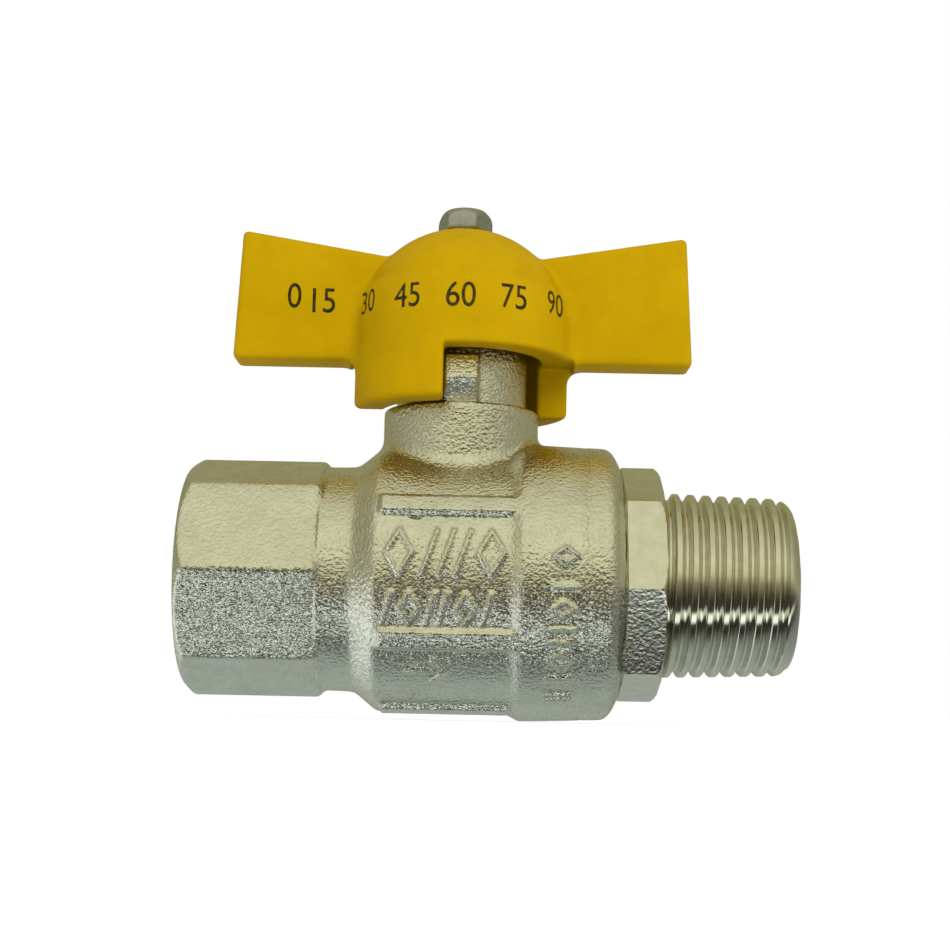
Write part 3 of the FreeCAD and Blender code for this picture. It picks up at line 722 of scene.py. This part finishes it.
def bump(tree, shader, layers):
    """Bump from one or more patterns, each with its own height in millimetres."""
    before = None
    for source, height in layers:
        node = tree.nodes.new("ShaderNodeBump")
        node.inputs["Strength"].default_value = 1.0
        node.inputs["Distance"].default_value = height * MM
        tree.links.new(source, node.inputs["Height"])
        if before is not None:
            tree.links.new(before, node.inputs["Normal"])
        before = node.outputs["Normal"]
    tree.links.new(before, shader.inputs["Normal"])


def cast_nickel():
    """Nickel over a blasted casting: fine dimples, and a slow swell under them."""
    material, tree, shader = new_material("blasted nickel plating")
    shader.inputs["Metallic"].default_value = 1.0
    tint = ramp(tree, noise(tree, 2.5, 3), [(0.3, (0.68, 0.67, 0.59)), (0.7, (0.76, 0.75, 0.67))])
    tree.links.new(tint, shader.inputs["Base Color"])
    rough = ramp(tree, noise(tree, 0.5, 2), [(0.3, 0.16), (0.7, 0.22)])
    tree.links.new(rough, shader.inputs["Roughness"])
    bump(tree, shader, [(noise(tree, 0.37, 1.0, 0.5), 0.125), (noise(tree, 0.2, 1.0), 0.035),
                        (noise(tree, 3.0, 2), 0.05)])
    return material


def machined_nickel():
    """Nickel over turned brass, with faint tool lines round the pipe."""
    material, tree, shader = new_material("machined nickel plating")
    shader.inputs["Metallic"].default_value = 1.0
    tint = ramp(tree, noise(tree, 1.5, 3), [(0.3, (0.66, 0.645, 0.57)), (0.7, (0.74, 0.73, 0.66))])
    tree.links.new(tint, shader.inputs["Base Color"])
    rough = ramp(tree, noise(tree, 0.6, 2), [(0.3, 0.10), (0.7, 0.16)])
    tree.links.new(rough, shader.inputs["Roughness"])
    bump(tree, shader, [(noise(tree, 0.12, 1, 0.5, (1, 0.02, 0.02)), 0.004), (noise(tree, 2.0, 2), 0.02)])
    return material


def connector_nickel():
    """Bright nickel on the thread and in the bore, and a faint cast grain on the outside of the collar."""
    material, tree, shader = new_material("connector nickel plating")
    shader.inputs["Metallic"].default_value = 1.0
    tint = ramp(tree, noise(tree, 1.5, 3), [(0.3, (0.64, 0.62, 0.53)), (0.7, (0.72, 0.70, 0.62))])
    tree.links.new(tint, shader.inputs["Base Color"])
    place = tree.nodes.new("ShaderNodeTexCoord")
    split = tree.nodes.new("ShaderNodeSeparateXYZ")
    tree.links.new(place.outputs["Object"], split.inputs["Vector"])
    squares = [maths(tree, "POWER", maths(tree, "ABSOLUTE", split.outputs[axis]), 2.0) for axis in "YZ"]
    radius = maths(tree, "SQRT", maths(tree, "ADD", *squares))
    outside = maths(tree, "GREATER_THAN", radius, GAUGE_RADIUS * MM)
    before_thread = maths(tree, "LESS_THAN", split.outputs["X"], (COLLAR_END + 0.02) * MM)
    collar = maths(tree, "MULTIPLY", outside, before_thread)
    tree.links.new(ramp(tree, collar, [(0.0, 0.11), (1.0, 0.15)]), shader.inputs["Roughness"])
    grain = maths(tree, "MULTIPLY", noise(tree, 0.4, 1.5), collar)
    streaks = noise(tree, 0.12, 1, 0.5, (1, 0.02, 0.02))
    bump(tree, shader, [(grain, 0.025), (streaks, 0.003)])
    return material


def handle_paint():
    """Yellow paint, slightly uneven in colour and surface."""
    material, tree, shader = new_material("yellow paint")
    tint = ramp(tree, noise(tree, 6.0, 4, 0.6), [(0.3, (0.395, 0.243, 0.001)), (0.7, (0.46, 0.283, 0.0015))])
    tree.links.new(tint, shader.inputs["Base Color"])
    shader.inputs["Specular IOR Level"].default_value = 0.015
    rough = ramp(tree, noise(tree, 1.2, 3), [(0.3, 0.38), (0.7, 0.5)])
    tree.links.new(rough, shader.inputs["Roughness"])
    bump(tree, shader, [(noise(tree, 1.2, 2), 0.02), (noise(tree, 0.25, 1), 0.004)])
    return material


def plain_material(name, colours, roughness, metallic=0.0, grain=0.5, height=0.004, specular=0.5):
    """A fine-grained finish: two close colours and two close roughnesses."""
    material, tree, shader = new_material(name)
    shader.inputs["Metallic"].default_value = metallic
    shader.inputs["Specular IOR Level"].default_value = specular
    pattern = noise(tree, grain, 3)
    for socket, (low, high) in (("Base Color", colours), ("Roughness", roughness)):
        tree.links.new(ramp(tree, pattern, [(0.3, low), (0.7, high)]), shader.inputs[socket])
    bump(tree, shader, [(pattern, height)])
    return material


# ---------------------------------------------------------------- stage, lights and camera

def make_floor():
    """Pale floor just under the valve, left out of the metal's reflections."""
    under = BODY_LOW[2] - 0.05
    corners = [(-1, -1), (1, -1), (1, 1), (-1, 1)]
    points = [(side * FLOOR_HALF, back * FLOOR_HALF, under) for side, back in corners]
    floor = add_mesh("studio_floor", points, [(0, 1, 2, 3)])
    material, tree, shader = new_material("pale floor")
    tone = ramp(tree, noise(tree, 60, 2), [(0.3, 0.32), (0.7, 0.35)])
    tree.links.new(tone, shader.inputs["Base Color"])
    shader.inputs["Emission Color"].default_value = (1, 1, 1, 1)
    shader.inputs["Emission Strength"].default_value = 0.78
    shader.inputs["Roughness"].default_value = 0.9
    floor.data.materials.append(material)
    floor.visible_glossy = False


# Studio surroundings as soft panels round the pipe axis: degrees up from the front, colour.
PANELS = [
    (0, (0.32, 0.30, 0.19)), (5, (0.52, 0.50, 0.31)), (12, (0.78, 0.76, 0.50)),
    (30, (0.88, 0.88, 0.62)), (52, (0.76, 0.76, 0.54)), (75, (0.62, 0.61, 0.42)),
    (105, (0.44, 0.43, 0.25)), (135, (0.37, 0.36, 0.19)), (165, (0.33, 0.30, 0.14)),
    (185, (0.32, 0.31, 0.22)), (205, (0.43, 0.48, 0.44)), (225, (0.42, 0.48, 0.45)),
    (250, (0.40, 0.46, 0.43)), (268, (0.35, 0.40, 0.37)), (280, (0.25, 0.28, 0.26)),
    (288, (0.11, 0.12, 0.11)), (296, (0.04, 0.04, 0.04)), (307, (0.03, 0.03, 0.03)),
    (311, (1.35, 1.5, 1.42)), (319, (1.35, 1.5, 1.38)), (323, (0.05, 0.045, 0.03)),
    (338, (0.05, 0.045, 0.03)), (348, (0.14, 0.13, 0.08)), (360, (0.32, 0.30, 0.19)),
]
# What shows to the left and right of the pipe, from straight down at 0 to straight up at 1.
LEFT_SIDE = [
    (0.12, (0.70, 0.77, 0.75)), (0.28, (1.50, 1.60, 1.55)), (0.42, (0.75, 0.77, 0.66)),
    (0.50, (0.36, 0.36, 0.25)), (0.75, (0.24, 0.23, 0.12)), (1.0, (0.30, 0.30, 0.20)),
]
RIGHT_SIDE = [(0.4, (0.12, 0.12, 0.11)), (0.5, (0.40, 0.40, 0.28)), (0.75, (0.26, 0.25, 0.13))]
FLOOR_HALF = 900

# Camera, in millimetres and degrees
CAMERA_PLACE = (2.643, -199.834, -14.672)
CAMERA_TURN = (97.7366, -1.1809, 0.0974)
CAMERA_LENS = 65.28


def blend_colours(tree, factor, first, second):
    """The first colour at 0, the second at 1."""
    node = tree.nodes.new("ShaderNodeMix")
    node.data_type = "RGBA"
    for socket, source in (("Factor", factor), ("A", first), ("B", second)):
        tree.links.new(source, node.inputs[socket])
    return node.outputs["Result"]


def plain_light(tree, colour, strength):
    """Even light from all round."""
    node = tree.nodes.new("ShaderNodeBackground")
    node.inputs["Color"].default_value = colour
    node.inputs["Strength"].default_value = strength
    return node.outputs["Background"]


def choose(tree, test, otherwise, shader):
    """One shader where a test holds and another elsewhere."""
    node = tree.nodes.new("ShaderNodeMixShader")
    tree.links.new(test, node.inputs["Fac"])
    tree.links.new(otherwise, node.inputs[1])
    tree.links.new(shader, node.inputs[2])
    return node.outputs["Shader"]


def make_world():
    """Studio light: panels for reflections, an even fill for matt surfaces, white behind it all."""
    world = bpy.data.worlds.new("studio")
    bpy.context.scene.world = world
    world.use_nodes = True
    tree = world.node_tree
    background = tree.nodes["Background"]
    place = tree.nodes.new("ShaderNodeTexCoord")
    split = tree.nodes.new("ShaderNodeSeparateXYZ")
    tree.links.new(place.outputs["Generated"], split.inputs["Vector"])
    front = maths(tree, "MULTIPLY", split.outputs["Y"], -1)
    angle = maths(tree, "ARCTAN2", split.outputs["Z"], front)
    share = maths(tree, "FRACT", maths(tree, "ADD", maths(tree, "DIVIDE", angle, TURN), 1.0))
    panels = ramp(tree, share, [(degrees / 360, colour) for degrees, colour in PANELS])
    level = maths(tree, "ADD", maths(tree, "MULTIPLY", split.outputs["Z"], 0.5), 0.5)
    to_right = maths(tree, "GREATER_THAN", split.outputs["X"], 0)
    sides = blend_colours(tree, to_right, ramp(tree, level, LEFT_SIDE), ramp(tree, level, RIGHT_SIDE))
    sideways = maths(tree, "POWER", maths(tree, "ABSOLUTE", split.outputs["X"]), 3.0)
    tree.links.new(blend_colours(tree, sideways, panels, sides), background.inputs["Color"])
    background.inputs["Strength"].default_value = 1.0
    white = plain_light(tree, (1, 1, 1, 1), 1.0)
    fill = plain_light(tree, (1, 1, 0.97, 1), 0.75)
    rays = tree.nodes.new("ShaderNodeLightPath")
    matt = choose(tree, rays.outputs["Is Diffuse Ray"], white, fill)
    chosen = choose(tree, rays.outputs["Is Glossy Ray"], matt, background.outputs["Background"])
    tree.links.new(chosen, tree.nodes["World Output"].inputs["Surface"])


def add_light(name, place, aim, size, power, colour):
    """A round soft lamp aimed at a place, left out of the metal's reflections."""
    light = bpy.data.lights.new(name, "AREA")
    light.shape = "DISK"
    light.size = size
    light.energy = power
    light.color = colour
    lamp = bpy.data.objects.new(name, light)
    lamp.location = place
    lamp.rotation_euler = (Vector(aim) - Vector(place)).to_track_quat("-Z", "Y").to_euler()
    lamp.visible_glossy = False
    bpy.context.scene.collection.objects.link(lamp)


def make_camera():
    """Camera a little below the pipe's axis, in front of the valve."""
    camera = bpy.data.cameras.new("camera")
    camera.sensor_width = 36
    camera.lens = CAMERA_LENS
    camera.clip_start = 0.005
    view = bpy.data.objects.new("camera", camera)
    view.location = [place * MM for place in CAMERA_PLACE]
    view.rotation_euler = [math.radians(angle) for angle in CAMERA_TURN]
    bpy.context.scene.collection.objects.link(view)
    bpy.context.scene.camera = view


def settle_piece(piece, body, slot, material, *nodes):
    """Give a piece its material and body, and hide the CAD nodes that it stands for. The slot is not used."""
    piece.data.materials.clear()
    piece.data.materials.append(material)
    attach(piece, body)
    if nodes:
        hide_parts(*nodes)


bpy.context.scene.view_settings.view_transform = "Standard"
make_camera()
make_floor()
make_world()
add_light("key", (0.14, -0.42, 0.34), (0, 0, 0.02), 0.3, 1.7, (1.0, 0.98, 0.94))

cast = cast_nickel()
machined = machined_nickel()
paint = handle_paint()
chrome = plain_material("polished chrome", [(0.78, 0.78, 0.8), (0.82, 0.82, 0.83)], (0.05, 0.09),
                        1.0, 1.5, 0.002)
ptfe = plain_material("white seat ring", [(0.82, 0.82, 0.78), (0.88, 0.88, 0.84)], (0.35, 0.45))
brass = plain_material("turned brass", [(0.70, 0.52, 0.24), (0.78, 0.60, 0.30)], (0.2, 0.3), 1.0)
ink = plain_material("black ink", [(0.008, 0.008, 0.003), (0.05, 0.04, 0.006)], (0.4, 0.6), specular=0.1)
rubber = plain_material("black rubber", [(0.015, 0.015, 0.015), (0.03, 0.03, 0.03)], (0.5, 0.65))
zinc = plain_material("dull zinc", [(0.36, 0.38, 0.37), (0.52, 0.54, 0.52)], (0.3, 0.5), 1.0, 0.4, 0.02)

body = mesh_shape("valve_body_forging", body_shape, *BODY_GRID)
settle_piece(body, "body_set", "cast_nickel", cast, "valve_body")
settle_piece(make_liner(), "body_set", "cast_nickel", machined, "valve_body")
settle_piece(make_connector(), "body_set", "machined_nickel", connector_nickel(), "end_connector")
handle = mesh_shape("handle_casting", handle_shape, *HANDLE_GRID)
settle_piece(make_print(handle), "handle_set", "scale_ink", ink)
settle_piece(handle, "handle_set", "handle_paint", paint, "handle")
screw = mesh_shape("handle_screw_hex", screw_shape, *SCREW_GRID)
settle_piece(screw, "handle_set", "screw_zinc", zinc, "handle_screw")
ball = mesh_shape("ball_bored", ball_shape, *BALL_GRID)
settle_piece(ball, "ball_set", "ball_chrome", chrome, "ball")

CAD_FINISHES = {
    "body_seal_ring": rubber, "stem_o_ring_lower": rubber, "stem_o_ring_upper": rubber,
    "seat_ring_inlet": ptfe, "seat_ring_outlet": ptfe, "stem_thrust_washer": ptfe, "stem": brass,
}
for node, material in CAD_FINISHES.items():
    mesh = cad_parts[node].data
    mesh.materials.clear()
    mesh.materials.append(material)
